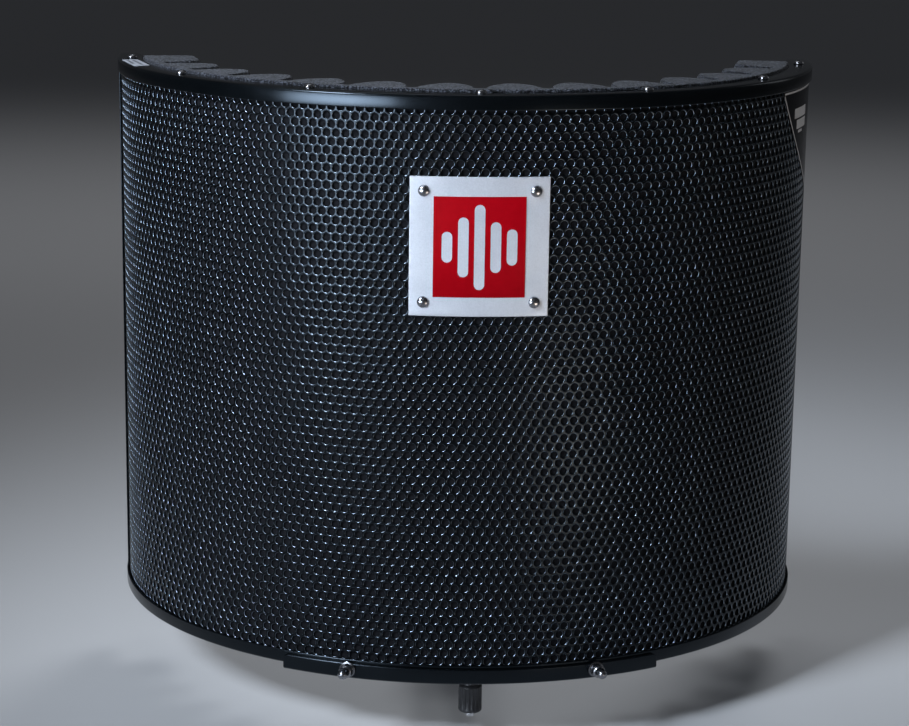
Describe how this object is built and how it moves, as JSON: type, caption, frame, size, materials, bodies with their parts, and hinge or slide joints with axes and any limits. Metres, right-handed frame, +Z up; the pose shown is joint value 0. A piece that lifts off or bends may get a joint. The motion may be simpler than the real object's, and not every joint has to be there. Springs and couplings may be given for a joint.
{
  "type": "microphone isolation shield",
  "caption": "Curved layered acoustic shield with perforated metal front, scalloped foam, slide bar, microphone carriage and screw clamp for a stand.",
  "frame": {"origin": "on the axis of the stand tube, half way up the clamp's jaws", "axes": "+X to the shield's left end as a singer facing it sees it from the open side, -Y to the convex perforated front, +Z up along the stand tube"},
  "size_m": [0.3808, 0.2401, 0.3373],
  "materials": {
    "black_paint": "semi-gloss black powder coat",
    "wool": "dark felted wool",
    "foil": "bright foil",
    "bare_aluminium": "mill",
    "foam": "open-cell charcoal foam",
    "badge_aluminium": "satin",
    "badge_enamel": "red enamel print",
    "sticker": "blank pale sticker",
    "label_film": "gloss black film",
    "bare_steel": "bright zinc",
    "dark_steel": "dark oxide",
    "rubber": "matte",
    "black_plastic": "moulded satin"
  },
  "bodies": {
    "clamp": {"clamp_block": "black_paint", "jaw_liner": "rubber", "slide_bar": "dark_steel", "bar_bolt_1": "bare_steel", "bar_bolt_2": "bare_steel"},
    "pad": {"clamp_pad": "dark_steel"},
    "clamp_screw": {"clamp_screw": "bare_steel", "clamp_handle": "bare_steel"},
    "shield": {"outer_grille": "black_paint", "top_rail": "black_paint", "bottom_rail": "black_paint", "end_channel_left": "black_paint", "end_channel_right": "black_paint", "mount_bracket": "black_paint", "outer_wool": "wool", "inner_wool": "wool", "foil_barrier": "foil", "inner_grille": "bare_aluminium", "foam_absorber": "foam", "badge_plate": "badge_aluminium", "badge_inlay": "badge_enamel", "corner_sticker": "sticker", "info_label": "label_film", "badge_rivet_1": "bare_steel", "badge_rivet_2": "bare_steel", "badge_rivet_3": "bare_steel", "badge_rivet_4": "bare_steel", "top_screw_1": "bare_steel", "top_screw_2": "bare_steel", "top_screw_3": "bare_steel", "top_screw_4": "bare_steel", "top_screw_5": "bare_steel", "top_screw_6": "bare_steel", "top_screw_7": "bare_steel", "bottom_screw_1": "bare_steel", "bottom_screw_2": "bare_steel", "bottom_screw_3": "bare_steel", "bottom_screw_4": "bare_steel", "tie_rod_1": "bare_steel", "tie_rod_2": "bare_steel", "tie_rod_3": "bare_steel", "tie_rod_4": "bare_steel", "tie_rod_5": "bare_steel", "bracket_stud_1": "bare_steel", "bracket_stud_2": "bare_steel", "bracket_washer_1": "bare_steel", "bracket_washer_2": "bare_steel", "bracket_nut_1": "bare_steel", "bracket_nut_2": "bare_steel", "bracket_screw_1": "bare_steel", "bracket_screw_2": "bare_steel", "lock_stud": "bare_steel"},
    "lock_washer": {"lock_washer": "bare_steel"},
    "lock_knob": {"lock_knob": "black_plastic"},
    "mic_carriage": {"mic_carriage": "dark_steel", "mic_post": "bare_steel"},
    "carriage_knob": {"carriage_knob": "black_plastic"},
    "lock_ring": {"lock_ring": "bare_steel"}
  },
  "joints": [
    {"name": "shield_distance", "type": "slide", "parent": "clamp", "child": "shield", "axis": [0, 1, 0], "range_m": [0, 0.045]},
    {"name": "lock_washer_drop", "type": "slide", "parent": "shield", "child": "lock_washer", "axis": [0, 0, -1], "range_m": [0, 0.002]},
    {"name": "lock_knob_turn", "type": "hinge", "parent": "lock_washer", "child": "lock_knob", "pos_m": [0, -0.182, 0.005], "axis": [0, 0, 1], "range_deg": [-721, 0]},
    {"name": "mic_distance", "type": "slide", "parent": "clamp", "child": "mic_carriage", "axis": [0, 1, 0], "range_m": [-0.02, 0.02]},
    {"name": "carriage_knob_turn", "type": "hinge", "parent": "mic_carriage", "child": "carriage_knob", "pos_m": [0, -0.085, 0.009], "axis": [0, 0, 1], "range_deg": [-180, 0]},
    {"name": "lock_ring_turn", "type": "hinge", "parent": "mic_carriage", "child": "lock_ring", "pos_m": [0, -0.085, 0.0335], "axis": [0, 0, 1], "continuous": true},
    {"name": "pad_slide", "type": "slide", "parent": "clamp", "child": "pad", "axis": [1, 0, 0], "range_m": [-0.012, 0]},
    {"name": "clamp_screw_turn", "type": "hinge", "parent": "pad", "child": "clamp_screw", "pos_m": [0.044, 0, 0], "axis": [1, 0, 0], "range_deg": [-2161, 0]}
  ],
  "couplings": [
    {"joint": "clamp_screw_turn", "follows": "pad_slide", "rad_per_m": 3141.6},
    {"joint": "lock_knob_turn", "follows": "lock_washer_drop", "rad_per_m": -6283.2}
  ]
}
